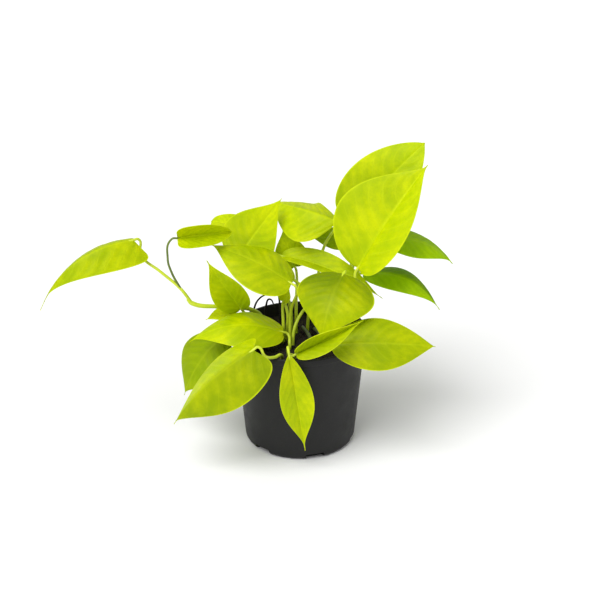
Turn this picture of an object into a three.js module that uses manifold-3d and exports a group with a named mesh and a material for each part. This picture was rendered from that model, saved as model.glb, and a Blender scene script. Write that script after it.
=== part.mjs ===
// A lime-leaved pothos in its round black nursery pot.
// Millimetres, +Z up. The origin is the middle of the pot's underside, and -Y is the front.
import * as THREE from "three";
import { ParametricGeometry } from "three/addons/geometries/ParametricGeometry.js";
import { mergeVertices } from "three/addons/utils/BufferGeometryUtils.js";
import Module from "manifold-3d";

const wasm = await Module();
wasm.setup();

// Clearance wherever two pieces meet.
const gap = 0.3;
// Corners closer than this are one corner.
const weldDistance = 1e-4;

// Pot: a thin tapered cup with a rolled rim band and drain notches around the foot.
const potHeight = 92;
const rimDiameter = 105;
const baseDiameter = 86;
const potWall = 1.2;
const floorThickness = 1.6;
const rimBandHeight = 5;
const rimBandStep = 0.8;
const footRadius = 5;
const potSegments = 48;
const cornerSteps = 4;

const notchCount = 6;
const notchWidth = 15;
const notchHeight = 5;
const notchDepth = 6;
const firstNotchAngle = -74;

// Soil: fills the pot to a little below the rim.
const soilDrop = 10;

// Stalks.
const petioleDiameter = 2.3;
const runnerDiameter = 3.4;
const cuttingDiameter = 3;
const rootDiameter = 1.5;
const petioleSides = 6;
const runnerSides = 8;
const stalkStep = 7;
const fewestSteps = 4;
const buried = 4;
const neckLength = 4;
// A petiole stops this far short of its blade, whose lobes reach back on either side of it.
const neckClearance = 0.8;

// Leaf blades.
const bladeThickness = 0.7;
const bladeRows = 12;
const usualBelly = 0.4;
const usualBluntness = 0.62;
const usualTaper = 1.25;
const usualDrip = 0.04;
const dripWidth = 1.3;
const usualHeart = 0.3;
const heartFade = 1.5;
const tailTaper = 0.6;
const tailStart = 1 / 3;
const rowCrowding = 1.25;

// The plant is drawn for these pot sizes, and it follows the pot when they change.
const drawnRimDiameter = 105;
const drawnPotHeight = 92;

const soilTop = potHeight - soilDrop;
const spread = rimDiameter / drawnRimDiameter;
const hang = potHeight / drawnPotHeight;

const colour = {
  pot: 0x2b2b2c,
  soil: 0x15120f,
  lime: 0xb9d400,
  shade: 0x86a61a,
  deep: 0x4f8f1c,
  stalk: 0xa9c23a,
  cutting: 0x6b7748,
  root: 0x1a1410,
};

// Places on the plant are measured from the middle of the rim plane: x and y follow the rim's
// diameter, and what hangs below the rim follows the pot's height.
function place([x, y, z]) {
  const rise = z < 0 ? z * hang : z;
  return new THREE.Vector3(x * spread, y * spread, potHeight + rise);
}

function inSoil(x, y) {
  return new THREE.Vector3(x * spread, y * spread, soilTop - buried);
}

// Low stubs of stem lie on the soil, so their height is measured from its surface.
function onSoil([x, y, height]) {
  return new THREE.Vector3(x * spread, y * spread, soilTop + height);
}

const runnerRoute = [
  inSoil(-28, 27),
  place([-30, 26, -2]),
  place([-38, 22, 7]),
  place([-50, 16, 12]),
  place([-64, 9, 16]),
  place([-84, 4, 21.5]),
];

// Each leaf: where its blade starts and ends, which way its upper side looks, its width, how far
// its midrib bows up (arch), how far its left and right halves rise from the midrib in degrees
// (fold), and how much they bend on towards the margin (curl). Its petiole starts at foot and
// passes through via. A leaf may also have its own belly (where it is widest), blunt base, taper
// and drip tip, heart (how far its lobes reach back) and lean.
const leaves = [
  {
    name: "runner_tip",
    base: [-127, 4, 75],
    tip: [-199, -12, 23],
    face: [-0.25, -0.45, 0.85],
    width: 42,
    belly: 0.25,
    blunt: 0.36,
    drip: 0.13,
    heart: 0.7,
    arch: 18,
    fold: [-26, -30],
    curl: -22,
    foot: place([-84, 4, 21.5]),
    via: [place([-92, 3, 34]), place([-107, 3, 48.5]), place([-122, 8, 60])],
    tint: "lime",
  },
  {
    name: "runner_young",
    base: [-93, 0, 78],
    tip: [-53, 22, 73.5],
    face: [0.15, -0.85, 0.5],
    width: 27,
    belly: 0.3,
    blunt: 0.4,
    taper: 0.6,
    drip: 0.01,
    arch: 2,
    fold: [52, 32],
    curl: 16,
    growsFrom: "runner_tip",
    foot: place([-92, 3, 34]),
    via: [place([-98.5, 1, 49]), place([-101, 0, 61])],
    tint: "lime",
  },
  {
    name: "crown_back_left",
    base: [-38, 62, 55],
    tip: [-71, 70, 62],
    face: [0.1, -0.3, 0.95],
    width: 26,
    taper: 0.35,
    drip: 0.01,
    arch: 3,
    fold: [10, 10],
    curl: -10,
    foot: inSoil(-6, 11),
    via: [place([-9, 14, 20]), place([-24, 36, 46])],
    tint: "lime",
  },
  {
    name: "crown_left",
    base: [-51, 46, 39],
    tip: [-14, 32, 97.5],
    face: [-0.1, -0.85, 0.5],
    width: 47,
    belly: 0.33,
    taper: 1.35,
    drip: 0.01,
    heart: 0.05,
    arch: 3,
    fold: [8, 8],
    curl: -8,
    foot: inSoil(-11, 4),
    via: [place([-12, 7, 20]), place([-30, 29, 25]), place([-47, 43, 29])],
    tint: "lime",
  },
  {
    name: "mid_broad",
    base: [-6.5, -8, 44],
    tip: [-70, 16, 66],
    face: [0.15, -0.55, 0.82],
    width: 48,
    arch: 6,
    fold: [8, -14],
    curl: -22,
    foot: inSoil(-8, -2),
    via: [place([-7, 1, 16])],
    tint: "lime",
  },
  {
    name: "mid_shade",
    base: [-4, 40, 36],
    tip: [-14, 42, 68],
    face: [0, -0.9, 0.3],
    width: 26,
    arch: 3,
    fold: [12, 12],
    curl: -10,
    foot: inSoil(-3, 15),
    via: [place([-3, 20, 14])],
    tint: "lime",
  },
  {
    name: "crown_top",
    base: [28, 22, 83],
    tip: [-19, 58, 84],
    face: [0.1, -0.9, 0.4],
    width: 50,
    belly: 0.3,
    blunt: 0.45,
    taper: 0.6,
    drip: 0.01,
    heart: -0.45,
    arch: 9,
    fold: [5, -60],
    curl: -15,
    foot: inSoil(14, 24),
    via: [place([14, 33, 20]), place([18, 37, 52]), place([30, 28, 77])],
    tint: "lime",
  },
  {
    name: "crown_long",
    base: [-14, 30, 50],
    tip: [64, 5, 25],
    face: [0.35, -0.5, 0.8],
    width: 24,
    arch: 8,
    fold: [28, 28],
    curl: -10,
    foot: inSoil(6, 17),
    via: [place([4, 20, 24]), place([-8, 22, 36]), place([-20, 30, 45])],
    tint: "lime",
  },
  {
    name: "top_front",
    base: [44, 0, 53],
    tip: [96, 14, 132],
    face: [-0.35, -0.72, 0.6],
    width: 74,
    lean: 0.06,
    taper: 1.2,
    drip: 0.02,
    heart: 0.1,
    arch: 4,
    fold: [16, 34],
    curl: -6,
    foot: inSoil(28, 6),
    via: [place([38, 0, 18]), place([43, -4, 36])],
    tint: "lime",
  },
  {
    name: "top_rear",
    base: [38, 30, 80],
    tip: [95, 32, 143],
    face: [-0.2, -0.8, 0.55],
    width: 54,
    blunt: 0.48,
    taper: 0.75,
    drip: 0.01,
    arch: 4,
    fold: [6, 6],
    curl: -10,
    foot: inSoil(26, 17),
    via: [place([38, 34, 30]), place([42, 38, 56])],
    tint: "lime",
  },
  {
    name: "right_upper",
    base: [66, 24, 68],
    tip: [119, 26, 45],
    face: [0.1, -0.25, 0.95],
    width: 34,
    arch: 9,
    fold: [-8, -8],
    curl: -18,
    foot: inSoil(33, 14),
    via: [place([44, 32, 22]), place([50, 38, 50])],
    tint: "deep",
  },
  {
    name: "right_lower",
    base: [50, 26, 37],
    tip: [109, 10, 13],
    face: [0.25, -0.35, 0.9],
    width: 27,
    arch: 14,
    fold: [-6, -12],
    curl: -20,
    foot: inSoil(34, 4),
    via: [place([42, 16, 12]), place([43, 23, 28])],
    tint: "deep",
  },
  {
    name: "spoon",
    base: [33, -6, 51],
    tip: [16, -40, 10],
    face: [-0.15, -0.65, 0.75],
    width: 64,
    blunt: 0.5,
    arch: 12,
    fold: [-4, -4],
    curl: -26,
    foot: inSoil(-6, -8),
    via: [place([-4, -3, 4]), place([2, 2, 15]), place([15, -1, 31]), place([30, -1, 45])],
    tint: "lime",
  },
  {
    name: "rim_folded",
    base: [-3, -52, 6],
    tip: [47, -52, 34],
    face: [-0.35, -0.72, 0.6],
    width: 25,
    arch: -2,
    fold: [84, 30],
    curl: -10,
    foot: inSoil(-3, -30),
    via: [place([-6, -40, -1]), place([-8, -50, 3])],
    tint: "lime",
  },
  {
    name: "rim_right",
    base: [24, -41, 8.5],
    tip: [103, -34, 3],
    face: [0.1, -0.75, 0.65],
    width: 42,
    belly: 0.46,
    taper: 1.1,
    drip: 0.015,
    arch: 7,
    fold: [0, 0],
    curl: -20,
    foot: inSoil(12, -20),
    via: [place([15, -29, 0])],
    tint: "lime",
  },
  {
    name: "rim_left_front",
    base: [-35, -58, 12.5],
    tip: [-96, -56, -52],
    face: [-0.35, -0.7, 0.62],
    width: 60,
    lean: 0.0,
    blunt: 0.4,
    heart: 0.6,
    arch: 11,
    fold: [-20, -40],
    curl: -12,
    foot: inSoil(-14, -27),
    via: [place([-15, -43, 0.5]), place([-20, -51, 2.5]), place([-26, -56, 6])],
    tint: "lime",
  },
  {
    name: "rim_hanging",
    base: [-8, -57, 7],
    tip: [4, -58, -74],
    face: [0.05, -1, 0.15],
    width: 27,
    belly: 0.48,
    blunt: 0.85,
    taper: 1.6,
    arch: 2,
    fold: [20, 26],
    curl: -10,
    foot: inSoil(-8, -30),
    via: [place([-9, -42, 3]), place([-9, -51, 11])],
    tint: "lime",
  },
  {
    name: "rim_left",
    base: [-13, -8.5, 2.8],
    tip: [-86, -10.5, -5.2],
    face: [0, -0.3, 0.95],
    width: 44,
    arch: 13,
    fold: [-5, -12],
    curl: -12,
    foot: inSoil(-8, -13),
    via: [place([-8, -14, -5])],
    tint: "lime",
  },
  {
    name: "left_small",
    base: [-50, 18, 5],
    tip: [-74, 10, 4],
    face: [-0.1, -0.4, 0.9],
    width: 15,
    arch: 3,
    fold: [5, 5],
    curl: 0,
    foot: inSoil(-37, 23),
    via: [place([-42, 21, 2])],
    tint: "lime",
  },
  {
    name: "left_shade",
    base: [-62, 5, -9],
    tip: [-91, -10, -52],
    face: [-0.65, -0.6, 0.4],
    width: 56,
    blunt: 0.4,
    heart: 0.1,
    arch: 6,
    fold: [-4, -4],
    curl: -14,
    foot: inSoil(-34, 6),
    via: [place([-40, 5, 0]), place([-49, 4, 4]), place([-57, 4, 1])],
    tint: "shade",
  },
  {
    name: "left_upright",
    base: [-46, 11, 13],
    tip: [-71, -6, 62],
    face: [-0.1, -0.9, 0.4],
    width: 28,
    arch: 3,
    fold: [10, 26],
    curl: 0,
    foot: inSoil(-33, 13),
    via: [place([-40, 13, 4])],
    tint: "lime",
  },
  {
    name: "back_right",
    base: [40, 46, 54],
    tip: [8, 52, 56],
    face: [0, -0.6, 0.8],
    width: 20,
    arch: 4,
    fold: [8, 8],
    curl: -10,
    foot: inSoil(22, 30),
    via: [place([34, 38, 12])],
    tint: "shade",
  },
  {
    name: "crown_small",
    base: [-13, 2, 24],
    tip: [-8, -3, 41],
    face: [-0.3, -0.85, 0.4],
    width: 11,
    arch: 1,
    fold: [15, 15],
    curl: 0,
    foot: inSoil(-13, -1),
    via: [place([-13, 1, 6])],
    tint: "lime",
  },
];

// Old stem cuttings that the leaves grew from, and dark wiry roots that arch out of the soil.
const cuttings = [
  [inSoil(12, -10), onSoil([7, 3, 4]), onSoil([2, 16, 5])],
  [inSoil(19, 1), onSoil([15, 7, 4]), onSoil([11, 13, 5])],
  [inSoil(-4, -18), onSoil([1, -15, 3.5]), onSoil([6, -12, 4])],
];
const roots = [
  [inSoil(-36, 30), place([-36, 29, 6]), place([-31, 28, 15]), place([-26, 27, 18])],
  [inSoil(-28, 34), place([-27, 34, 5]), place([-24, 33, 11]), place([-20, 30, 5])],
  [inSoil(-16, 28), place([-16, 28, 8]), place([-18, 28, 19]), place([-22, 28, 24])],
];

function material(name, roughness) {
  return new THREE.MeshStandardMaterial({ color: colour[name], roughness, metalness: 0 });
}

function piece(name, geometry, surface) {
  const mesh = new THREE.Mesh(geometry, surface);
  mesh.name = name;
  return mesh;
}

function solidOf(geometry) {
  const bare = geometry.clone();
  bare.deleteAttribute("normal");
  bare.deleteAttribute("uv");
  const merged = mergeVertices(bare, weldDistance);
  return new wasm.Manifold(
    new wasm.Mesh({
      numProp: 3,
      vertProperties: new Float32Array(merged.attributes.position.array),
      triVerts: new Uint32Array(merged.index.array),
    }),
  );
}

function geometryOf(solid) {
  const mesh = solid.getMesh();
  const geometry = new THREE.BufferGeometry();
  geometry.setAttribute("position", new THREE.BufferAttribute(mesh.vertProperties, 3));
  geometry.setIndex(new THREE.BufferAttribute(mesh.triVerts, 1));
  geometry.computeVertexNormals();
  return geometry;
}

// LatheGeometry turns about Y, so the turned solid is stood up on Z.
function turned(profile) {
  return new THREE.LatheGeometry(profile, potSegments).rotateX(Math.PI / 2);
}

const degrees = Math.PI / 180;
const bodyRimRadius = rimDiameter / 2 - rimBandStep;

function outerRadius(z) {
  const share = z / potHeight;
  return baseDiameter / 2 + (bodyRimRadius - baseDiameter / 2) * share;
}

function innerRadius(z) {
  return outerRadius(z) - potWall;
}

function arc(centreX, centreZ, radius, from, to, steps) {
  const points = [];
  for (let i = 0; i <= steps; i += 1) {
    const angle = (from + ((to - from) * i) / steps) * degrees;
    points.push(
      new THREE.Vector2(centreX + radius * Math.cos(angle), centreZ + radius * Math.sin(angle)),
    );
  }
  return points;
}

function makePot() {
  const bandFoot = potHeight - rimBandHeight;
  const insideCorner = footRadius - potWall;
  const profile = [
    new THREE.Vector2(0, 0),
    ...arc(outerRadius(footRadius) - footRadius, footRadius, footRadius, -90, 0, cornerSteps),
    new THREE.Vector2(outerRadius(bandFoot), bandFoot),
    new THREE.Vector2(rimDiameter / 2, bandFoot + rimBandStep),
    new THREE.Vector2(rimDiameter / 2, potHeight),
    new THREE.Vector2(innerRadius(potHeight), potHeight),
    ...arc(
      innerRadius(footRadius) - insideCorner,
      floorThickness + insideCorner,
      insideCorner,
      0,
      -90,
      cornerSteps,
    ),
    new THREE.Vector2(0, floorThickness),
  ];
  let pot = solidOf(turned(profile));
  for (let i = 0; i < notchCount; i += 1) {
    const angle = (firstNotchAngle + (360 / notchCount) * i) * degrees;
    const reach = outerRadius(0);
    const notch = new THREE.BoxGeometry(notchDepth * 2, notchWidth, notchHeight * 2);
    notch.translate(reach, 0, 0).rotateZ(angle);
    pot = pot.subtract(solidOf(notch));
  }
  return piece("pot", geometryOf(pot), material("pot", 0.55));
}

function makeSoil() {
  const corner = footRadius;
  const bottom = floorThickness + gap;
  const profile = [
    new THREE.Vector2(0, bottom),
    new THREE.Vector2(innerRadius(bottom) - gap - corner, bottom),
    new THREE.Vector2(innerRadius(bottom + corner) - gap, bottom + corner),
    new THREE.Vector2(innerRadius(soilTop) - gap, soilTop),
    new THREE.Vector2(0, soilTop),
  ];
  return piece("soil", turned(profile), material("soil", 0.95));
}

function stalkGeometry(route, diameter, sides) {
  const path = new THREE.CatmullRomCurve3(route, false, "centripetal");
  const section = new THREE.Shape();
  for (let i = 0; i < sides; i += 1) {
    const angle = (i / sides) * 2 * Math.PI;
    const x = (diameter / 2) * Math.cos(angle);
    const y = (diameter / 2) * Math.sin(angle);
    if (i === 0) section.moveTo(x, y);
    else section.lineTo(x, y);
  }
  section.closePath();
  const steps = Math.max(fewestSteps, Math.ceil(path.getLength() / stalkStep));
  return new THREE.ExtrudeGeometry(section, { steps, bevelEnabled: false, extrudePath: path });
}

// Everything up to the soil's surface, with the clearance, is cut from what comes out of it.
function soilCutter() {
  const depth = 2 * buried;
  const radius = rimDiameter;
  const slab = new THREE.CylinderGeometry(radius, radius, depth, potSegments);
  slab.rotateX(Math.PI / 2).translate(0, 0, soilTop + gap - depth / 2);
  return solidOf(slab);
}

// The room kept around the runner, along its length and past its end.
function runnerCutter() {
  const sleeve = stalkGeometry(runnerRoute, runnerDiameter + 2 * gap, runnerSides);
  const radius = runnerDiameter / 2 + gap;
  const cap = new THREE.CylinderGeometry(radius, radius, 2 * gap, runnerSides);
  const end = runnerRoute.at(-1);
  const heading = new THREE.CatmullRomCurve3(runnerRoute, false, "centripetal").getTangent(1);
  const turn = new THREE.Quaternion().setFromUnitVectors(new THREE.Vector3(0, 1, 0), heading);
  cap.applyQuaternion(turn).translate(end.x, end.y, end.z);
  return solidOf(sleeve).add(solidOf(cap));
}

const aboveSoil = soilCutter();
const besideRunner = runnerCutter();

function makeStalk(name, route, diameter, sides, tint, cutters) {
  let stalk = solidOf(stalkGeometry(route, diameter, sides));
  for (const cutter of cutters) stalk = stalk.subtract(cutter);
  return piece(name, geometryOf(stalk), material(tint, 0.5));
}

// The straight frame of a blade: along from base to tip, up out of its upper side, and right.
function bladeFrame(leaf) {
  const base = place(leaf.base);
  const tip = place(leaf.tip);
  const length = base.distanceTo(tip);
  const along = tip.clone().sub(base).normalize();
  const up = new THREE.Vector3(...leaf.face);
  up.addScaledVector(along, -up.dot(along)).normalize();
  const right = along.clone().cross(up);
  return { base, length, along, up, right };
}

function midribPoint(leaf, frame, t) {
  const bow = 4 * t * (1 - t);
  return frame.base
    .clone()
    .addScaledVector(frame.along, frame.length * t)
    .addScaledVector(frame.up, leaf.arch * bow);
}

function midribDirection(leaf, frame, t) {
  const slope = (4 * leaf.arch * (1 - 2 * t)) / frame.length;
  return frame.along.clone().addScaledVector(frame.up, slope).normalize();
}

// A blade swells from its base to its belly and narrows to a thin drip tip. Bluntness and taper
// set how fast its two ends narrow, and a leaning blade is wider on its left.
function halfWidth(leaf, t, hand) {
  const body = Math.min(1, t / (1 - (leaf.drip ?? usualDrip)));
  const shift = Math.log(0.5) / Math.log(leaf.belly ?? usualBelly);
  const swell = Math.max(0, Math.sin(Math.PI * body ** shift));
  const bluntness = leaf.blunt ?? usualBluntness;
  const power = bluntness + ((leaf.taper ?? usualTaper) - bluntness) * body;
  const side = 1 - hand * (leaf.lean ?? 0);
  const main = (leaf.width / 2) * side * swell ** power;
  const tail = dripWidth * (1 - t) ** tailTaper * Math.min(1, t / tailStart);
  return Math.max(main, tail);
}

// A point of the blade's skin: t runs from base to tip, v from the left margin to the right, and
// side is 1 on the upper skin and -1 on the lower.
function bladePoint(leaf, frame, t, v, side) {
  const reach = Math.abs(v);
  const hand = v < 0 ? -1 : 1;
  const half = halfWidth(leaf, t, hand);
  const width = half * reach;
  const rise = v === 0 ? 0 : leaf.fold[v < 0 ? 0 : 1] * degrees;
  const bend = leaf.curl * degrees * reach;
  const forward = midribDirection(leaf, frame, t);
  const up = frame.right.clone().cross(forward);
  const lobe = (leaf.heart ?? usualHeart) * (1 - t) ** heartFade;
  const point = midribPoint(leaf, frame, t);
  point.addScaledVector(forward, -lobe * half * reach ** 2);
  point.addScaledVector(frame.right, hand * width * Math.cos(rise + bend / 2));
  point.addScaledVector(up, width * Math.sin(rise + bend / 2));
  const closed = t === 0 || t === 1;
  const skin = closed ? 0 : (side * bladeThickness) / 2;
  const tilt = v === 0 ? 0 : rise + bend;
  point.addScaledVector(up, skin * Math.cos(tilt));
  point.addScaledVector(frame.right, -hand * skin * Math.sin(tilt));
  return point;
}

function makeBlade(leaf) {
  const frame = bladeFrame(leaf);
  const ring = [
    [-1, 1],
    [-0.5, 1],
    [0, 1],
    [0.5, 1],
    [1, 1],
    [1, -1],
    [0.5, -1],
    [0, -1],
    [-0.5, -1],
    [-1, -1],
  ];
  const skinPoint = (around, along, target) => {
    const [v, side] = ring[Math.round(around * ring.length) % ring.length];
    target.copy(bladePoint(leaf, frame, along ** rowCrowding, v, side));
  };
  const geometry = new ParametricGeometry(skinPoint, ring.length, bladeRows);
  return piece(`leaf_${leaf.name}`, geometry, material(leaf.tint, 0.4));
}

// A petiole ends in a short straight neck in line with the start of its blade's midrib.
function petioleRoute(leaf) {
  const frame = bladeFrame(leaf);
  const forward = midribDirection(leaf, frame, 0);
  const end = frame.base.clone().addScaledVector(forward, -neckClearance);
  const neck = end.clone().addScaledVector(forward, -neckLength);
  return [leaf.foot, ...leaf.via, neck, end];
}

function makePetiole(leaf) {
  const cutters = [aboveSoil, besideRunner];
  const parent = leaves.find((other) => other.name === leaf.growsFrom);
  if (parent) {
    const sheath = petioleDiameter + 2 * gap;
    cutters.push(solidOf(stalkGeometry(petioleRoute(parent), sheath, petioleSides)));
  }
  const route = petioleRoute(leaf);
  return makeStalk(`petiole_${leaf.name}`, route, petioleDiameter, petioleSides, "stalk", cutters);
}

const plant = new THREE.Group();
plant.add(makePot());
plant.add(makeSoil());
plant.add(makeStalk("runner_stem", runnerRoute, runnerDiameter, runnerSides, "stalk", [aboveSoil]));
cuttings.forEach((route, i) => {
  const name = `cutting_${i + 1}`;
  plant.add(makeStalk(name, route, cuttingDiameter, runnerSides, "cutting", [aboveSoil]));
});
roots.forEach((route, i) => {
  plant.add(makeStalk(`root_${i + 1}`, route, rootDiameter, petioleSides, "root", [aboveSoil]));
});
for (const leaf of leaves) {
  plant.add(makePetiole(leaf));
  plant.add(makeBlade(leaf));
}

export default plant;
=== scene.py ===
import math
import random

import bpy
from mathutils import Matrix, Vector, noise


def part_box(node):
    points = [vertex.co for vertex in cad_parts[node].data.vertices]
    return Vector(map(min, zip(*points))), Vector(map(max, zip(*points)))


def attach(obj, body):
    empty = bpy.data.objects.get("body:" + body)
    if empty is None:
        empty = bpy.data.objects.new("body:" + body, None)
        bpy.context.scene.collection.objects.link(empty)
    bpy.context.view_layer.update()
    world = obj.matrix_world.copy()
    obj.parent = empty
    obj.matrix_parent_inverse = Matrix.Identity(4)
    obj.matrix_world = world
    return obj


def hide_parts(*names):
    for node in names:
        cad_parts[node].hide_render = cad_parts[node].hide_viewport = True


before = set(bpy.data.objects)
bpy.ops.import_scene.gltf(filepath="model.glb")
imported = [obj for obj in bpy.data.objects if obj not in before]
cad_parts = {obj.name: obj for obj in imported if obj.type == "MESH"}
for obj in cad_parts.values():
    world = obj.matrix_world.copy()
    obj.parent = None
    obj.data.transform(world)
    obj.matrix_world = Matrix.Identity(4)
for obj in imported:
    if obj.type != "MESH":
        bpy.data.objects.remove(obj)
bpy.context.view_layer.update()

MM = 0.001

# ---------------------------------------------------------------------------------------------
# Pot: one injection-moulded cup of thin black plastic, slightly tapered, with a rounded foot,
# a slim band round the rim and drain notches cut through the foot. It stands on its own base.
# ---------------------------------------------------------------------------------------------


def tidy_start():
    """Leaves nothing selected and no object in edit mode, so an operator acts on one piece."""
    if bpy.context.object and bpy.context.object.mode != "OBJECT":
        bpy.ops.object.mode_set(mode="OBJECT")
    bpy.ops.object.select_all(action="DESELECT")


def ring_up(radius, height, from_radius, from_height):
    """Extrudes the selected ring to a new height and radius."""
    bpy.ops.mesh.extrude_edges_move(TRANSFORM_OT_translate={"value": (0, 0, height - from_height)})
    grow = radius / from_radius
    bpy.ops.transform.resize(value=(grow, grow, 1), center_override=(0, 0, 0))


def turned_shell(name, profile, sides):
    """A round shell that starts as a flat disc and climbs through each (radius, height) ring."""
    tidy_start()
    radius, height = profile[0]
    bpy.ops.mesh.primitive_circle_add(
        vertices=sides, radius=radius, fill_type="NOTHING", location=(0, 0, height)
    )
    shell = bpy.context.object
    shell.name = shell.data.name = name
    bpy.ops.object.transform_apply(location=True)
    bpy.ops.object.mode_set(mode="EDIT")
    bpy.ops.mesh.select_all(action="SELECT")
    for next_radius, next_height in profile[1:]:
        ring_up(next_radius, next_height, radius, height)
        radius, height = next_radius, next_height
    return shell


def rounded(centre_radius, centre_height, size, start, end, steps):
    """Points on a corner of the given size, from one angle to another in degrees."""
    points = []
    for i in range(steps + 1):
        angle = math.radians(start + (end - start) * i / steps)
        points.append(
            (centre_radius + size * math.cos(angle), centre_height + size * math.sin(angle))
        )
    return points


def nodes_of(material):
    material.use_nodes = True
    return material.node_tree, material.node_tree.nodes["Principled BSDF"]


def node(tree, kind, **settings):
    made = tree.nodes.new(kind)
    for key, value in settings.items():
        setattr(made, key, value)
    return made


def maths(tree, operation, *values, clamp=False):
    """One step of arithmetic: each input is a number or another node's output."""
    step = node(tree, "ShaderNodeMath", operation=operation, use_clamp=clamp)
    for socket, value in zip(step.inputs, values):
        if isinstance(value, (int, float)):
            socket.default_value = value
        else:
            tree.links.new(value, socket)
    return step.outputs[0]


def blend(tree, amount, first, second, mode="MIX"):
    """Mixes two colours, each a tuple or another node's output."""
    mix = node(tree, "ShaderNodeMix", data_type="RGBA", blend_type=mode)
    for socket, value in ((mix.inputs[0], amount), (mix.inputs[6], first), (mix.inputs[7], second)):
        if isinstance(value, (int, float)):
            socket.default_value = value
        elif isinstance(value, tuple):
            socket.default_value = (*value, 1)
        else:
            tree.links.new(value, socket)
    return mix.outputs[2]


def cloud(tree, scale, detail=3, roughness=0.55):
    """Noise fixed to the plant; scale is in lumps a metre."""
    lumps = node(tree, "ShaderNodeTexNoise")
    lumps.inputs["Scale"].default_value = scale
    lumps.inputs["Detail"].default_value = detail
    lumps.inputs["Roughness"].default_value = roughness
    tree.links.new(node(tree, "ShaderNodeTexCoord").outputs["Object"], lumps.inputs["Vector"])
    return lumps.outputs[0]


def stretch(tree, value, low, high, to_low=0.0, to_high=1.0):
    """Spreads the part of a value between low and high over a new range, and clamps it."""
    spread = node(tree, "ShaderNodeMapRange", clamp=True)
    tree.links.new(value, spread.inputs[0])
    for socket, number in zip(spread.inputs[1:5], (low, high, to_low, to_high)):
        socket.default_value = number
    return spread.outputs[0]


def bump(tree, shader, height, depth, strength):
    """Fine relief: depth is how high it stands, in metres."""
    bumps = node(tree, "ShaderNodeBump")
    bumps.inputs["Strength"].default_value = strength
    bumps.inputs["Distance"].default_value = depth
    tree.links.new(height, bumps.inputs["Height"])
    tree.links.new(bumps.outputs[0], shader.inputs["Normal"])


pot_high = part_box("pot")[1]
POT_TOP = pot_high[2]
RIM_RADIUS = pot_high[0]
FOOT_RADIUS = 43 * MM
WALL = 1.2 * MM
FLOOR = 1.6 * MM
RIM_BAND = 5 * MM
RIM_STEP = 0.8 * MM
FOOT_CORNER = 5 * MM
POT_SIDES = 144


def wall_radius(height):
    """Outside of the pot's tapered wall, without the rim band."""
    return FOOT_RADIUS + (RIM_RADIUS - RIM_STEP - FOOT_RADIUS) * height / POT_TOP


def make_pot():
    lip = 0.45 * MM
    band_foot = POT_TOP - RIM_BAND
    inner_corner = FOOT_CORNER - WALL
    outside = rounded(wall_radius(FOOT_CORNER) - FOOT_CORNER, FOOT_CORNER, FOOT_CORNER, -90, 0, 8)
    band = rounded(RIM_RADIUS - lip, band_foot + lip, lip, -60, 0, 3)
    mouth = rounded(RIM_RADIUS - lip, POT_TOP - lip, lip, 0, 90, 4)
    inner_mouth = wall_radius(POT_TOP) - WALL
    lip_in = rounded(inner_mouth + lip, POT_TOP - lip, lip, 90, 180, 4)
    inside = rounded(
        wall_radius(FOOT_CORNER) - WALL - inner_corner, FLOOR + inner_corner, inner_corner, 0, -90, 6
    )
    profile = [
        *outside,
        (wall_radius(band_foot * 0.5), band_foot * 0.5),
        (wall_radius(band_foot - 0.6 * MM), band_foot - 0.6 * MM),
        (wall_radius(band_foot), band_foot),
        *band,
        *mouth,
        *lip_in,
        (wall_radius(POT_TOP * 0.5) - WALL, POT_TOP * 0.5),
        *inside,
        (0.5 * MM, FLOOR),
    ]
    pot = turned_shell("pot_shell", profile, POT_SIDES)
    bpy.ops.mesh.edge_face_add()
    bpy.ops.mesh.select_all(action="DESELECT")
    bpy.ops.mesh.select_non_manifold()
    bpy.ops.mesh.edge_face_add()
    bpy.ops.mesh.select_all(action="SELECT")
    bpy.ops.mesh.normals_make_consistent(inside=False)
    bpy.ops.object.mode_set(mode="OBJECT")
    return pot


def cut_notches(pot, count=6, width=15 * MM, height=5 * MM, depth=6 * MM, first=-74):
    """Drain notches: arched slots through the foot's corner, evenly spaced."""
    for i in range(count):
        angle = math.radians(first + 360 / count * i)
        tidy_start()
        bpy.ops.mesh.primitive_cube_add(size=1)
        cutter = bpy.context.object
        cutter.scale = (2 * depth, width, 2 * height)
        cutter.location = (FOOT_RADIUS * math.cos(angle), FOOT_RADIUS * math.sin(angle), 0)
        cutter.rotation_euler = (0, 0, angle)
        bpy.ops.object.transform_apply(location=True, rotation=True, scale=True)
        bpy.ops.object.mode_set(mode="EDIT")
        bpy.ops.mesh.select_all(action="SELECT")
        bpy.ops.mesh.bevel(offset=1.4 * MM, segments=3)
        bpy.ops.object.mode_set(mode="OBJECT")
        tidy_start()
        bpy.context.view_layer.objects.active = pot
        pot.select_set(True)
        cut = pot.modifiers.new("notch", "BOOLEAN")
        cut.operation = "DIFFERENCE"
        cut.solver = "EXACT"
        cut.object = cutter
        bpy.ops.object.modifier_apply(modifier=cut.name)
        bpy.data.objects.remove(cutter, do_unlink=True)


def pot_plastic():
    plastic = bpy.data.materials.new("pot_plastic")
    tree, shader = nodes_of(plastic)
    wear = stretch(tree, cloud(tree, 45, 5, 0.6), 0.35, 0.75)
    dust = stretch(tree, cloud(tree, 700, 2, 0.5), 0.55, 0.8)
    tone = blend(tree, wear, (0.009, 0.009, 0.0088), (0.0135, 0.0135, 0.0132))
    tone = blend(tree, maths(tree, "MULTIPLY", dust, 0.25), tone, (0.028, 0.028, 0.027))
    tree.links.new(tone, shader.inputs["Base Color"])
    tree.links.new(stretch(tree, cloud(tree, 90, 4), 0.3, 0.7, 0.48, 0.62), shader.inputs["Roughness"])
    shader.inputs["Specular IOR Level"].default_value = 0.28
    bump(tree, shader, cloud(tree, 1400, 3, 0.6), 0.00012, 0.6)
    return plastic


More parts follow.
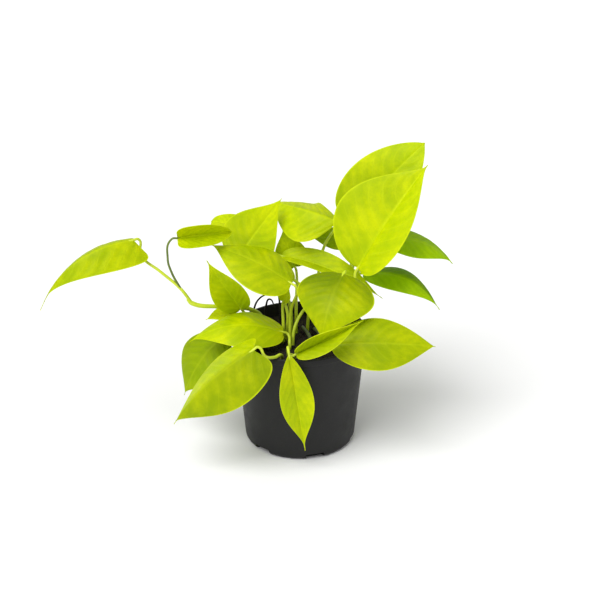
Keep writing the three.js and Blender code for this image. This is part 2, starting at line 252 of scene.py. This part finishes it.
def smooth(piece, degrees):
    """Shades a piece smooth, but for edges sharper than the given angle."""
    tidy_start()
    bpy.context.view_layer.objects.active = piece
    piece.select_set(True)
    bpy.ops.object.shade_smooth_by_angle(angle=math.radians(degrees))


pot = make_pot()
cut_notches(pot)
smooth(pot, 35)
pot.data.materials.append(pot_plastic())
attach(pot, "root")
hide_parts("pot")

# ---------------------------------------------------------------------------------------------
# Soil: dark crumbly potting peat that fills the pot to a finger's width under the rim. Its top
# is uneven, with loose crumbs and a few pale bits of grit, and the stalks come up through it.
# ---------------------------------------------------------------------------------------------

soil_low, soil_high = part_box("soil")
SOIL_TOP = soil_high[2]


def soil_height(x, y):
    """Lumpy surface that stays close to the level the stalks were planted at."""
    broad = noise.noise(Vector((x, y, 0)) * 60) * 1.3 * MM
    lumps = noise.noise(Vector((x, y, 5)) * 260) * 0.9 * MM
    grain = noise.noise(Vector((x, y, 9)) * 900) * 0.45 * MM
    return SOIL_TOP + 0.4 * MM + broad + lumps + grain


def make_soil():
    rings = 34
    bottom = soil_low[2]
    edge = soil_high[0] + 0.25 * MM
    chamfer = 5 * MM
    profile = [
        (wall_radius(bottom) - WALL - chamfer, bottom),
        (wall_radius(bottom + chamfer) - WALL - 0.3 * MM, bottom + chamfer),
        (edge, SOIL_TOP - 0.4 * MM),
    ]
    for i in range(1, rings):
        profile.append((edge * (1 - i / rings), SOIL_TOP))
    soil = turned_shell("soil_block", profile, 160)
    bpy.ops.mesh.merge(type="CENTER")
    bpy.ops.mesh.select_all(action="DESELECT")
    bpy.ops.mesh.select_non_manifold()
    bpy.ops.mesh.edge_face_add()
    bpy.ops.mesh.select_all(action="SELECT")
    bpy.ops.mesh.normals_make_consistent(inside=False)
    bpy.ops.object.mode_set(mode="OBJECT")
    for vertex in soil.data.vertices:
        x, y, z = vertex.co
        if z > SOIL_TOP - 0.2 * MM:
            rim_share = min(1, (edge - math.hypot(x, y)) / (6 * MM))
            vertex.co.z = SOIL_TOP + (soil_height(x, y) - SOIL_TOP) * rim_share
    return soil


def scatter_crumbs(count, chance):
    """Loose crumbs: one rough lump, copied, sized, turned and set into the surface."""
    tidy_start()
    bpy.ops.mesh.primitive_ico_sphere_add(subdivisions=2, radius=1)
    first = bpy.context.object
    for vertex in first.data.vertices:
        vertex.co *= 0.8 + 0.45 * noise.noise(vertex.co * 1.7)
    crumbs = []
    reach = soil_high[0] - 2.5 * MM
    for _ in range(count):
        crumb = first.copy()
        crumb.data = first.data.copy()
        bpy.context.collection.objects.link(crumb)
        angle = chance.uniform(0, 2 * math.pi)
        radius = reach * math.sqrt(chance.random())
        x, y = radius * math.cos(angle), radius * math.sin(angle)
        size = chance.choice((0.7, 0.9, 1.1, 1.5, 2.1)) * MM
        crumb.location = (x, y, soil_height(x, y) + size * 0.15)
        crumb.rotation_euler = [chance.uniform(0, 6) for _ in range(3)]
        crumb.scale = (size, size * chance.uniform(0.6, 1), size * chance.uniform(0.45, 0.8))
        crumbs.append(crumb)
    bpy.data.objects.remove(first, do_unlink=True)
    return crumbs


def join(pieces, into):
    """Makes the pieces part of one mesh, with its place applied."""
    tidy_start()
    for each in pieces:
        each.select_set(True)
    into.select_set(True)
    bpy.context.view_layer.objects.active = into
    bpy.ops.object.join()
    bpy.ops.object.transform_apply(location=True, rotation=True, scale=True)


def peat():
    soil_stuff = bpy.data.materials.new("peat")
    tree, shader = nodes_of(soil_stuff)
    clods = stretch(tree, cloud(tree, 260, 6, 0.7), 0.35, 0.7)
    fibres = stretch(tree, cloud(tree, 1100, 3, 0.6), 0.6, 0.75)
    tone = blend(tree, clods, (0.006, 0.0045, 0.0035), (0.030, 0.021, 0.014))
    tone = blend(tree, maths(tree, "MULTIPLY", fibres, 0.5), tone, (0.070, 0.048, 0.030))
    tree.links.new(tone, shader.inputs["Base Color"])
    shader.inputs["Roughness"].default_value = 0.92
    shader.inputs["Specular IOR Level"].default_value = 0.25
    bump(tree, shader, cloud(tree, 800, 6, 0.75), 0.0006, 0.9)
    return soil_stuff


soil = make_soil()
join(scatter_crumbs(300, random.Random(4)), soil)
smooth(soil, 30)
soil.data.materials.append(peat())
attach(soil, "root")
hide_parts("soil")

# ---------------------------------------------------------------------------------------------
# Runner: the one long stem that trails over the left of the rim, a smooth green stalk thickened
# at its nodes. Its last two leaves stand on it, the youngest still half rolled.
# ---------------------------------------------------------------------------------------------


def place(x, y, z):
    """Millimetres from the middle of the rim plane, as the plant is measured, to the frame."""
    return Vector((x * MM, y * MM, POT_TOP + z * MM))


def in_soil(x, y):
    """The foot of a stalk, planted a little below the top of the soil."""
    return Vector((x * MM, y * MM, SOIL_TOP - PLANTED))


STALK_STEPS = 10
PLANTED = 3 * MM


def stalk(name, route, radii, sides=4):
    """A round stalk along a smooth route, with a radius in millimetres at each point of it."""
    tidy_start()
    bpy.ops.curve.primitive_bezier_curve_add()
    rod = bpy.context.object
    rod.name = rod.data.name = name
    spline = rod.data.splines[0]
    spline.bezier_points.add(len(route) - len(spline.bezier_points))
    for point, where, radius in zip(spline.bezier_points, route, radii):
        point.co = where
        point.radius = radius
        point.handle_left_type = point.handle_right_type = "AUTO"
    rod.data.bevel_depth = MM
    rod.data.bevel_resolution = sides
    rod.data.resolution_u = STALK_STEPS
    rod.data.use_fill_caps = True
    bpy.ops.object.convert(target="MESH")
    smooth(rod, 60)
    return rod


def stalk_skin(name, pale, green, dark):
    """Waxy stalk skin: patches of two greens, fine dark specks, and painted shade low down where it
    leaves the soil.
    """
    skin = bpy.data.materials.new(name)
    tree, shader = nodes_of(skin)
    patches = stretch(tree, cloud(tree, 120, 3), 0.35, 0.7)
    specks = stretch(tree, cloud(tree, 1500, 2), 0.55, 0.75)
    tone = blend(tree, patches, green, pale)
    tone = blend(tree, maths(tree, "MULTIPLY", specks, 0.25), tone, dark)
    # painted shade: the skin darkens towards the soil over its lowest 18 mm, where the stalks stand in
    # the shade of the leaves
    place_of = node(tree, "ShaderNodeTexCoord").outputs["Object"]
    split = node(tree, "ShaderNodeSeparateXYZ")
    tree.links.new(place_of, split.inputs[0])
    low = stretch(tree, split.outputs[2], SOIL_TOP, SOIL_TOP + 18 * MM, 0.5, 0.0)
    tone = blend(tree, low, tone, dark)
    tree.links.new(tone, shader.inputs["Base Color"])
    shader.inputs["Roughness"].default_value = 0.42
    bump(tree, shader, cloud(tree, 1800, 2), 0.0001, 0.4)
    return skin


GREEN_STALK = stalk_skin("stalk_green", (0.68, 0.78, 0.04), (0.52, 0.64, 0.02), (0.20, 0.30, 0.01))
# a darker copy of the green stalk skin: painted shade, used on the young runner leaf's petiole
SHADE_STALK = stalk_skin("stalk_shade", (0.16, 0.22, 0.03), (0.10, 0.15, 0.02), (0.05, 0.08, 0.01))

runner_route = [
    in_soil(-28, 27),
    place(-30, 26, -2),
    place(-38, 22, 7),
    place(-50, 16, 12),
    place(-64, 9, 16),
    place(-84, 4, 21.5),
    place(-87, 3.5, 25),
]
runner = stalk("runner_vine", runner_route, [1.8, 1.8, 1.7, 1.9, 1.6, 1.9, 1.3])
runner.data.materials.append(GREEN_STALK)
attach(runner, "root")
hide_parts("runner_stem")

# ---------------------------------------------------------------------------------------------
# Leaves: leathery heart-shaped blades, each grown on its own round petiole. A blade is one thin
# waxy sheet, grooved along the midrib and faintly quilted between side veins that sweep towards
# the tip. The petioles come up out of the soil, or off the runner.
# ---------------------------------------------------------------------------------------------

BLADE_THICKNESS = 0.45
BLADE_ALONG = 60
BLADE_ACROSS = 36
USUAL_BELLY = 0.4
BASE_ROUNDNESS = 0.62
TIP_TAPER = 1.25
USUAL_DRIP = 0.04
DRIP_WIDTH = 1.3
HEART = 0.3
# usual painted shade at a blade's base and at its tip
USUAL_SHADE_PAINT = (0.25, 0.0)
VEINS = 8
VEIN_SWEEP = 0.3
GROOVE_DEPTH = 0.5
GROOVE_WIDTH = 1.1
QUILT_DEPTH = 0.24
RIPPLE = 1.1
WAVE = 0.8


def blade_frame(leaf):
    """Where a blade starts, how long it is, which way it runs and which way its face looks."""
    base, tip = place(*leaf["base"]), place(*leaf["tip"])
    along = (tip - base).normalized()
    up = Vector(leaf["face"])
    up = (up - along * up.dot(along)).normalized()
    return base, (tip - base).length, along, up


def half_width(leaf, t, hand):
    """Half the blade's width at t; a leaning leaf is wider on its left (hand -1)."""
    drip = leaf.get("drip", USUAL_DRIP)
    body = min(1.0, t / (1 - drip))
    shift = math.log(0.5) / math.log(leaf.get("belly", USUAL_BELLY))
    swell = max(0.0, math.sin(math.pi * body**shift))
    side = 1 - hand * leaf.get("lean", 0)
    fullness = leaf.get("blunt", BASE_ROUNDNESS) * (1 - body) + leaf.get("taper", TIP_TAPER) * body
    main = leaf["width"] * MM / 2 * side * swell**fullness
    tail = DRIP_WIDTH * MM * (1 - t) ** 0.6 * min(1.0, 3 * t)
    return max(main, tail)


def midrib(leaf, t):
    """A point on the bowed midrib, and the ways forward, up and to the right there."""
    base, length, along, up = blade_frame(leaf)
    arch = leaf["arch"] * MM
    point = base + along * length * t + up * arch * 4 * t * (1 - t)
    forward = along + up * arch * (4 * (1 - 2 * t) / length)
    forward.normalize()
    right = forward.cross(up).normalized()
    return point, forward, right.cross(forward), right


def blade_point(leaf, t, v, seed):
    """Where the sheet lies: t runs from base to tip and v from the left margin to the right."""
    reach = abs(v)
    hand = -1 if v < 0 else 1
    width = half_width(leaf, t, hand)
    point, forward, up, right = midrib(leaf, t)
    rise = math.radians(leaf["fold"][0 if v < 0 else 1])
    bend = math.radians(leaf["curl"]) * reach
    lobe = leaf.get("heart", HEART) * (1 - t) ** 1.5
    point = point - forward * lobe * width * reach**2
    point = point + right * hand * width * reach * math.cos(rise + bend / 2)
    point = point + up * width * reach * math.sin(rise + bend / 2)
    outward = up * math.cos(rise + bend) - right * hand * math.sin(rise + bend)
    groove = -GROOVE_DEPTH * math.exp(-((reach * width / (GROOVE_WIDTH * MM)) ** 2)) * (1 - t) ** 0.4
    vein = t - VEIN_SWEEP * reach**1.3
    quilt = QUILT_DEPTH * math.cos(2 * math.pi * VEINS * vein) * math.sin(math.pi * reach)
    quilt = quilt * width / (20 * MM)
    ripple = RIPPLE * noise.noise(Vector((t * 3.1, hand * 2.7, seed))) * reach**2.5
    wave = WAVE * noise.noise(Vector((t * 2.2, v * 1.3, seed + 9.0))) * min(1, width / (12 * MM))
    return point + outward * (groove + quilt + ripple + wave) * MM


def make_blade(leaf, seed):
    """One blade: a fine grid shaped to the leaf, with a map and an amount of painted shade, then
    thickened.
    """
    tidy_start()
    bpy.ops.mesh.primitive_grid_add(x_subdivisions=BLADE_ACROSS, y_subdivisions=BLADE_ALONG, size=2)
    blade = bpy.context.object
    blade.name = blade.data.name = leaf["name"] + "_blade"
    across = [math.copysign(abs(v.co.x) ** 1.25, v.co.x) for v in blade.data.vertices]
    along = [((v.co.y + 1) / 2) ** 1.2 for v in blade.data.vertices]
    skin_map = blade.data.uv_layers[0].data
    for loop in blade.data.loops:
        i = loop.vertex_index
        skin_map[loop.index].uv = (across[i] / 2 + 0.5, along[i])
    ripeness = blade.data.attributes.new("ripeness", "FLOAT", "POINT")
    # painted shade: an amount for each point, ramped from base to tip and raised on a half that lies
    # in shade or turns from the lamp; a negative amount paints light instead
    ripe_base, ripe_tip = leaf.get("ripe", USUAL_SHADE_PAINT)
    for vertex, v, t, ripe in zip(blade.data.vertices, across, along, ripeness.data):
        vertex.co = blade_point(leaf, t, v, seed)
        ripe_side = leaf.get("ripe_halves", (0, 0))[0 if v < 0 else 1] * min(1, 4 * abs(v))
        ripe.value = ripe_base + (ripe_tip - ripe_base) * t + ripe_side
    bpy.ops.object.mode_set(mode="EDIT")
    bpy.ops.mesh.select_all(action="SELECT")
    bpy.ops.mesh.remove_doubles(threshold=0.01 * MM)
    bpy.ops.object.mode_set(mode="OBJECT")
    sheet = blade.modifiers.new("thickness", "SOLIDIFY")
    sheet.thickness = BLADE_THICKNESS * MM
    sheet.offset = 0
    bpy.ops.object.modifier_apply(modifier=sheet.name)
    smooth(blade, 70)
    return blade


# the tone that painted shade multiplies a leaf's colour by
PAINTED_SHADE_TINT = (0.42, 0.48, 0.6)


def leaf_skin(name, lime, gold, shade, vein, glow):
    """Leaf skin: blotches of lime and gold, pale veins, painted shade where a leaf lies in shade and
    in the hollows between side veins, and a painted highlight along the margin.
    """
    skin = bpy.data.materials.new(name)
    tree, shader = nodes_of(skin)
    uv = node(tree, "ShaderNodeSeparateXYZ")
    tree.links.new(node(tree, "ShaderNodeTexCoord").outputs["UV"], uv.inputs[0])
    off_centre = maths(tree, "ABSOLUTE", maths(tree, "MULTIPLY_ADD", uv.outputs[0], 2.0, -1.0))
    swept = maths(tree, "MULTIPLY", maths(tree, "POWER", off_centre, 1.3), -VEIN_SWEEP)
    phase = maths(tree, "ADD", uv.outputs[1], swept)
    wobble = maths(tree, "MULTIPLY", maths(tree, "SUBTRACT", cloud(tree, 90, 2), 0.5), 0.035)
    phase = maths(tree, "ADD", phase, wobble)
    saw = maths(tree, "PINGPONG", maths(tree, "MULTIPLY", phase, float(VEINS)), 0.5)
    side_vein = stretch(tree, saw, 0.0, 0.075, 1.0, 0.0)
    side_vein = maths(tree, "MULTIPLY", side_vein, stretch(tree, off_centre, 0.75, 1.0, 1.0, 0.0))
    main_vein = stretch(tree, off_centre, 0.015, 0.06, 1.0, 0.0)
    margin = stretch(tree, off_centre, 0.955, 0.99)
    blotch = stretch(tree, cloud(tree, 48, 4, 0.6), 0.40, 0.64)
    mottle = stretch(tree, cloud(tree, 420, 4, 0.7), 0.42, 0.72)
    between = stretch(tree, saw, 0.15, 0.5)
    tone = blend(tree, blotch, lime, gold)
    tone = blend(tree, maths(tree, "MULTIPLY", mottle, 0.35), tone, shade)
    # painted shade: darker in the hollows between the side veins, where the quilted blade dips
    tone = blend(tree, maths(tree, "MULTIPLY", between, 0.22), tone, shade)
    tone = blend(tree, maths(tree, "MULTIPLY", side_vein, 0.3), tone, vein)
    tone = blend(tree, maths(tree, "MULTIPLY", main_vein, 0.5), tone, vein)
    # painted shade: the leaf's colour darkened by the amount painted on the blade, a little less on
    # the gold blotches
    ripeness = node(tree, "ShaderNodeAttribute", attribute_name="ripeness").outputs["Fac"]
    ripeness = maths(tree, "ADD", ripeness, maths(tree, "MULTIPLY", blotch, -0.1), clamp=True)
    tone = blend(tree, ripeness, tone, blend(tree, 1.0, tone, PAINTED_SHADE_TINT, "MULTIPLY"))
    # painted highlight: the margin lightened towards the pale vein colour, where light catches the
    # edge of the blade
    tone = blend(tree, maths(tree, "MULTIPLY", margin, 0.75), tone, vein)
    tree.links.new(tone, shader.inputs["Base Color"])
    tree.links.new(stretch(tree, cloud(tree, 160, 3), 0.3, 0.7, 0.34, 0.5), shader.inputs["Roughness"])
    shader.inputs["Specular IOR Level"].default_value = 0.12
    net = node(tree, "ShaderNodeTexVoronoi", feature="DISTANCE_TO_EDGE")
    net.inputs["Scale"].default_value = 520
    tree.links.new(node(tree, "ShaderNodeTexCoord").outputs["Object"], net.inputs["Vector"])
    veinlets = stretch(tree, net.outputs[0], 0.0, 0.12)
    ridges = maths(tree, "SUBTRACT", veinlets, maths(tree, "MULTIPLY", side_vein, 1.5))
    bump(tree, shader, ridges, 0.00012, 0.5)
    through = node(tree, "ShaderNodeBsdfTranslucent")
    tree.links.new(blend(tree, 0.55, tone, glow), through.inputs["Color"])
    both = node(tree, "ShaderNodeMixShader")
    both.inputs[0].default_value = 0.32
    tree.links.new(shader.outputs[0], both.inputs[1])
    tree.links.new(through.outputs[0], both.inputs[2])
    tree.links.new(both.outputs[0], tree.nodes["Material Output"].inputs["Surface"])
    return skin


LIME = leaf_skin(
    "leaf_lime",
    (0.53, 0.66, 0.0),
    (0.74, 0.80, 0.0),
    (0.40, 0.56, 0.0),
    (0.76, 0.86, 0.01),
    (0.80, 0.95, 0.0),
)
# a darker copy of the lime skin: painted shade, for leaves that lie in the shade of others
SHADE = leaf_skin(
    "leaf_shade",
    (0.38, 0.52, 0.0),
    (0.46, 0.58, 0.0),
    (0.30, 0.44, 0.0),
    (0.56, 0.68, 0.01),
    (0.60, 0.80, 0.0),
)
DEEP = leaf_skin(
    "leaf_deep",
    (0.46, 0.72, 0.0),
    (0.55, 0.78, 0.0),
    (0.31, 0.56, 0.0),
    (0.62, 0.80, 0.01),
    (0.62, 0.90, 0.0),
)
SKINS = {"lime": (LIME, "leaf_lime"), "shade": (SHADE, "leaf_shade"), "deep": (DEEP, "leaf_deep")}
NECK = 4.3
PETIOLE_END = 0.07
UNDER_NECK = 0.5
UNDER_BLADE = 1.1
USUAL_STALK = (1.35, 0.95)
STALK_POINT = 0.3


def grow(name, **leaf):
    """Makes one leaf: its petiole from foot to neck, and its blade."""
    leaf["name"] = name
    seed = sum(leaf["base"]) * 0.37
    point, forward, up, _ = midrib(leaf, 0.0)
    under = midrib(leaf, PETIOLE_END)[0]
    point -= up * UNDER_NECK * MM
    end = under - up * UNDER_BLADE * MM
    route = [leaf["foot"], *leaf["via"], point - forward * NECK * MM, point, end]
    steps = len(route) - 1
    thick, thin = leaf.get("stalk", USUAL_STALK)
    radii = [thick + (thin - thick) * i / (steps - 1) for i in range(steps)] + [STALK_POINT]
    petiole = stalk(leaf["name"] + "_petiole", route, radii)
    petiole.data.materials.append(leaf.get("stalk_skin", GREEN_STALK))
    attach(petiole, "root")
    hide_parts("petiole_" + leaf["name"])
    skin, slot = SKINS[leaf["tint"]]
    blade = make_blade(leaf, seed)
    blade.data.materials.append(skin)
    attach(blade, "root")
    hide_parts("leaf_" + leaf["name"])


# For each leaf, one pair sets the painted shade at its base and at its tip. The pair for its halves
# adds painted shade to a half that turns from the lamp, or painted light to one that turns to it.
grow(
    "runner_tip",
    tint="lime",
    base=(-127, 4, 75),
    tip=(-199, -12, 23),
    face=(-0.25, -0.45, 0.85),
    width=42,
    belly=0.25,
    arch=18,
    fold=(-26, -30),
    curl=-22,
    drip=0.13,
    blunt=0.36,
    heart=0.7,
    ripe=(0.35, 0.3),
    foot=place(-84, 4, 21.5),
    via=[place(-92, 3, 34), place(-107, 3, 48.5), place(-122, 8, 60)],
)
grow(
    "runner_young",
    tint="lime",
    base=(-93, 0, 78),
    tip=(-53, 22, 73.5),
    face=(0.15, -0.85, 0.5),
    width=27,
    arch=2,
    fold=(52, 32),
    curl=16,
    blunt=0.4,
    belly=0.3,
    stalk_skin=SHADE_STALK,
    stalk=(0.95, 0.8),
    taper=0.6,
    drip=0.01,
    foot=place(-92, 3, 34),
    via=[place(-98.5, 1, 49), place(-101, 0, 61)],
)
grow(
    "crown_back_left",
    tint="lime",
    base=(-38, 62, 55),
    tip=(-71, 70, 62),
    face=(0.1, -0.3, 0.95),
    width=26,
    arch=3,
    fold=(10, 10),
    curl=-10,
    taper=0.35,
    drip=0.01,
    foot=in_soil(-6, 11),
    via=[place(-9, 14, 20), place(-24, 36, 46)],
)
grow(
    "crown_left",
    tint="lime",
    base=(-51, 46, 39),
    tip=(-14, 32, 97.5),
    face=(-0.1, -0.85, 0.5),
    width=47,
    arch=3,
    fold=(8, 8),
    curl=-8,
    ripe=(0.2, 0.0),
    drip=0.01,
    heart=0.05,
    belly=0.33,
    taper=1.35,
    foot=in_soil(-11, 4),
    via=[place(-12, 7, 20), place(-30, 29, 25), place(-47, 43, 29)],
)
grow(
    "mid_broad",
    tint="lime",
    base=(-6.5, -8, 44),
    tip=(-70, 16, 66),
    face=(0.15, -0.55, 0.82),
    width=48,
    arch=6,
    fold=(8, -14),
    curl=-22,
    ripe=(0.45, 0.3),
    foot=in_soil(-8, -2),
    via=[place(-7, 1, 16)],
)
grow(
    "mid_shade",
    tint="lime",
    base=(-4, 40, 36),
    tip=(-14, 42, 68),
    face=(0, -0.9, 0.3),
    width=26,
    arch=3,
    fold=(12, 12),
    curl=-10,
    ripe=(0.2, 0.1),
    foot=in_soil(-3, 15),
    via=[place(-3, 20, 14)],
)
grow(
    "crown_top",
    tint="lime",
    base=(28, 22, 83),
    tip=(-19, 58, 84),
    face=(0.1, -0.9, 0.4),
    width=50,
    arch=9,
    fold=(5, -60),
    curl=-15,
    belly=0.3,
    blunt=0.45,
    heart=-0.45,
    taper=0.6,
    drip=0.01,
    foot=in_soil(14, 24),
    via=[place(14, 33, 20), place(18, 37, 52), place(30, 28, 77)],
)
grow(
    "crown_long",
    tint="lime",
    base=(-14, 30, 50),
    tip=(64, 5, 25),
    face=(0.35, -0.5, 0.8),
    width=24,
    arch=8,
    fold=(28, 28),
    curl=-10,
    ripe=(0.3, 0.2),
    foot=in_soil(6, 17),
    via=[place(4, 20, 24), place(-8, 22, 36), place(-20, 30, 45)],
)
grow(
    "top_front",
    tint="lime",
    base=(44, 0, 53),
    tip=(96, 14, 132),
    face=(-0.35, -0.72, 0.6),
    width=74,
    arch=4,
    fold=(16, 34),
    curl=-6,
    lean=0.06,
    taper=1.2,
    ripe=(0.05, 0.0),
    drip=0.02,
    heart=0.1,
    ripe_halves=(0.12, -0.1),
    foot=in_soil(28, 6),
    via=[place(38, 0, 18), place(43, -4, 36)],
)
grow(
    "top_rear",
    tint="lime",
    base=(38, 30, 80),
    tip=(95, 32, 143),
    face=(-0.2, -0.8, 0.55),
    width=54,
    arch=4,
    fold=(6, 6),
    curl=-10,
    taper=0.75,
    ripe=(0.55, 0.0),
    drip=0.01,
    blunt=0.48,
    foot=in_soil(26, 17),
    via=[place(38, 34, 30), place(42, 38, 56)],
)
grow(
    "right_upper",
    tint="deep",
    base=(66, 24, 68),
    tip=(119, 26, 45),
    face=(0.1, -0.25, 0.95),
    width=34,
    arch=9,
    fold=(-8, -8),
    curl=-18,
    ripe=(0.1, 0.0),
    ripe_halves=(0.2, 0),
    foot=in_soil(33, 14),
    via=[place(44, 32, 22), place(50, 38, 50)],
)
grow(
    "right_lower",
    tint="deep",
    base=(50, 26, 37),
    tip=(109, 10, 13),
    face=(0.25, -0.35, 0.9),
    width=27,
    arch=14,
    fold=(-6, -12),
    curl=-20,
    ripe=(0.3, 0.0),
    ripe_halves=(0.75, 0),
    foot=in_soil(34, 4),
    via=[place(42, 16, 12), place(43, 23, 28)],
)
grow(
    "spoon",
    tint="lime",
    base=(33, -6, 51),
    tip=(16, -40, 10),
    face=(-0.15, -0.65, 0.75),
    width=64,
    arch=12,
    fold=(-4, -4),
    curl=-26,
    ripe=(1.2, 0.1),
    blunt=0.5,
    ripe_halves=(-0.25, 0),
    foot=in_soil(-6, -8),
    via=[place(-4, -3, 4), place(2, 2, 15), place(15, -1, 31), place(30, -1, 45)],
)
grow(
    "rim_folded",
    tint="lime",
    base=(-3, -52, 6),
    tip=(47, -52, 34),
    face=(-0.35, -0.72, 0.6),
    width=25,
    arch=-2,
    fold=(84, 30),
    curl=-10,
    ripe=(0.5, 0.3),
    foot=in_soil(-3, -30),
    via=[place(-6, -40, -1), place(-8, -50, 3)],
)
grow(
    "rim_right",
    tint="lime",
    base=(24, -41, 8.5),
    tip=(103, -34, 3),
    face=(0.1, -0.75, 0.65),
    width=42,
    belly=0.46,
    arch=7,
    fold=(0, 0),
    curl=-20,
    ripe=(0.75, 0.4),
    drip=0.015,
    taper=1.1,
    foot=in_soil(12, -20),
    via=[place(15, -29, 0)],
)
grow(
    "rim_left_front",
    tint="lime",
    base=(-35, -58, 12.5),
    tip=(-96, -56, -52),
    face=(-0.35, -0.7, 0.62),
    width=60,
    arch=11,
    fold=(-20, -40),
    curl=-12,
    ripe=(0.7, 0.5),
    ripe_halves=(0, -0.7),
    heart=0.6,
    blunt=0.4,
    foot=in_soil(-14, -27),
    via=[place(-15, -43, 0.5), place(-20, -51, 2.5), place(-26, -56, 6)],
)
grow(
    "rim_hanging",
    tint="lime",
    base=(-8, -57, 7),
    tip=(4, -58, -74),
    face=(0.05, -1, 0.15),
    width=27,
    belly=0.48,
    arch=2,
    fold=(20, 26),
    curl=-10,
    taper=1.6,
    ripe=(0.5, -0.5),
    blunt=0.85,
    foot=in_soil(-8, -30),
    via=[place(-9, -42, 3), place(-9, -51, 11)],
)
grow(
    "rim_left",
    tint="lime",
    base=(-13, -8.5, 2.8),
    tip=(-86, -10.5, -5.2),
    face=(0, -0.3, 0.95),
    width=44,
    arch=13,
    fold=(-5, -12),
    curl=-12,
    ripe=(0.25, 0.0),
    foot=in_soil(-8, -13),
    via=[place(-8, -14, -5)],
)
grow(
    "left_small",
    tint="lime",
    base=(-50, 18, 5),
    tip=(-74, 10, 4),
    face=(-0.1, -0.4, 0.9),
    width=15,
    arch=3,
    fold=(5, 5),
    curl=0,
    foot=in_soil(-37, 23),
    via=[place(-42, 21, 2)],
)
grow(
    "left_shade",
    tint="shade",
    base=(-62, 5, -9),
    tip=(-91, -10, -52),
    face=(-0.65, -0.6, 0.4),
    width=56,
    arch=6,
    fold=(-4, -4),
    curl=-14,
    ripe=(0.4, 0.3),
    heart=0.1,
    blunt=0.4,
    foot=in_soil(-34, 6),
    via=[place(-40, 5, 0), place(-49, 4, 4), place(-57, 4, 1)],
)
grow(
    "left_upright",
    tint="lime",
    base=(-46, 11, 13),
    tip=(-71, -6, 62),
    face=(-0.1, -0.9, 0.4),
    width=28,
    arch=3,
    fold=(10, 26),
    curl=0,
    foot=in_soil(-33, 13),
    via=[place(-40, 13, 4)],
)
grow(
    "back_right",
    tint="shade",
    base=(40, 46, 54),
    tip=(8, 52, 56),
    face=(0, -0.6, 0.8),
    width=20,
    arch=4,
    fold=(8, 8),
    curl=-10,
    foot=in_soil(22, 30),
    via=[place(34, 38, 12)],
)
grow(
    "crown_small",
    tint="lime",
    base=(-13, 2, 24),
    tip=(-8, -3, 41),
    face=(-0.3, -0.85, 0.4),
    width=11,
    arch=1,
    fold=(15, 15),
    curl=0,
    foot=in_soil(-13, -1),
    via=[place(-13, 1, 6)],
)

# ---------------------------------------------------------------------------------------------
# Old cuttings and roots: short dull green pieces of the stems that the plant was started from,
# lying low in the soil, and dark wiry roots that arch out of it behind the crown.
# ---------------------------------------------------------------------------------------------

OLD_STEM = stalk_skin("old_stem", (0.13, 0.16, 0.06), (0.08, 0.11, 0.03), (0.03, 0.04, 0.01))
cuttings = [
    [in_soil(12, -10), place(7, 3, -6), place(2, 16, -5)],
    [in_soil(19, 1), place(15, 7, -6), place(11, 13, -5)],
    [in_soil(-4, -18), place(1, -15, -6.5), place(6, -12, -6)],
]
for i, route in enumerate(cuttings, 1):
    stub = stalk(f"old_cutting_{i}", route, [1.4, 1.5, 1.3])
    stub.data.materials.append(OLD_STEM)
    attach(stub, "root")
    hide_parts(f"cutting_{i}")


def root_bark():
    bark = bpy.data.materials.new("root_bark")
    tree, shader = nodes_of(bark)
    tone = blend(tree, cloud(tree, 500, 3), (0.002, 0.0015, 0.001), (0.010, 0.006, 0.004))
    tree.links.new(tone, shader.inputs["Base Color"])
    shader.inputs["Roughness"].default_value = 0.8
    bump(tree, shader, cloud(tree, 1500, 3), 0.0002, 0.6)
    return bark


ROOT_BARK = root_bark()
roots = [
    [in_soil(-36, 30), place(-36, 29, 6), place(-31, 28, 15), place(-26, 27, 18)],
    [in_soil(-28, 34), place(-27, 34, 5), place(-24, 33, 11), place(-20, 30, 5)],
    [in_soil(-16, 28), place(-16, 28, 8), place(-18, 28, 19), place(-22, 28, 24)],
]
for i, route in enumerate(roots, 1):
    wire = stalk(f"wiry_root_{i}", route, [0.8, 0.8, 0.7, 0.4], sides=3)
    wire.data.materials.append(ROOT_BARK)
    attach(wire, "root")
    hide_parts(f"root_{i}")

# ---------------------------------------------------------------------------------------------
# Studio: a plain pale floor, soft light from all round with a broad lamp overhead, and a long
# lens a little above the plant.
# ---------------------------------------------------------------------------------------------


def studio_floor():
    tidy_start()
    bpy.ops.mesh.primitive_plane_add(size=12, location=(0, 0, 0))
    floor = bpy.context.object
    floor.name = "studio_floor"
    paper = bpy.data.materials.new("floor_paper")
    tree, shader = nodes_of(paper)
    shade = blend(tree, cloud(tree, 3, 2), (0.90, 0.90, 0.90), (0.93, 0.93, 0.93))
    tree.links.new(shade, shader.inputs["Base Color"])
    shader.inputs["Roughness"].default_value = 0.9
    floor.data.materials.append(paper)


def sun(name, from_m, spread, power):
    """A very broad even light from one side, like a large diffuser far off."""
    tidy_start()
    bpy.ops.object.light_add(type="SUN", location=from_m)
    light = bpy.context.object
    light.name = name
    light.data.angle = math.radians(spread)
    light.data.energy = power
    light.rotation_euler = (-Vector(from_m)).to_track_quat("-Z", "Y").to_euler()


def studio_camera(target, azimuth, elevation, distance, lens):
    tidy_start()
    az, el = math.radians(azimuth), math.radians(elevation)
    back = Vector((-math.sin(az) * math.cos(el), -math.cos(az) * math.cos(el), math.sin(el)))
    bpy.ops.object.camera_add(location=Vector(target) + back * distance)
    camera = bpy.context.object
    camera.rotation_euler = (-back).to_track_quat("-Z", "Y").to_euler()
    camera.data.lens = lens
    camera.data.sensor_width = 36
    bpy.context.scene.camera = camera


studio_floor()
world = bpy.data.worlds.new("studio")
bpy.context.scene.world = world
world.use_nodes = True
world.node_tree.nodes["Background"].inputs[0].default_value = (1.0, 1.0, 1.0, 1)
world.node_tree.nodes["Background"].inputs[1].default_value = 0.55
sun("soft_key", from_m=(-0.45, -0.55, 1.0), spread=45, power=2.7)
studio_camera(target=(0, 0, 0.118), azimuth=0, elevation=25.5, distance=1.3, lens=101)
bpy.context.scene.view_settings.view_transform = "Standard"
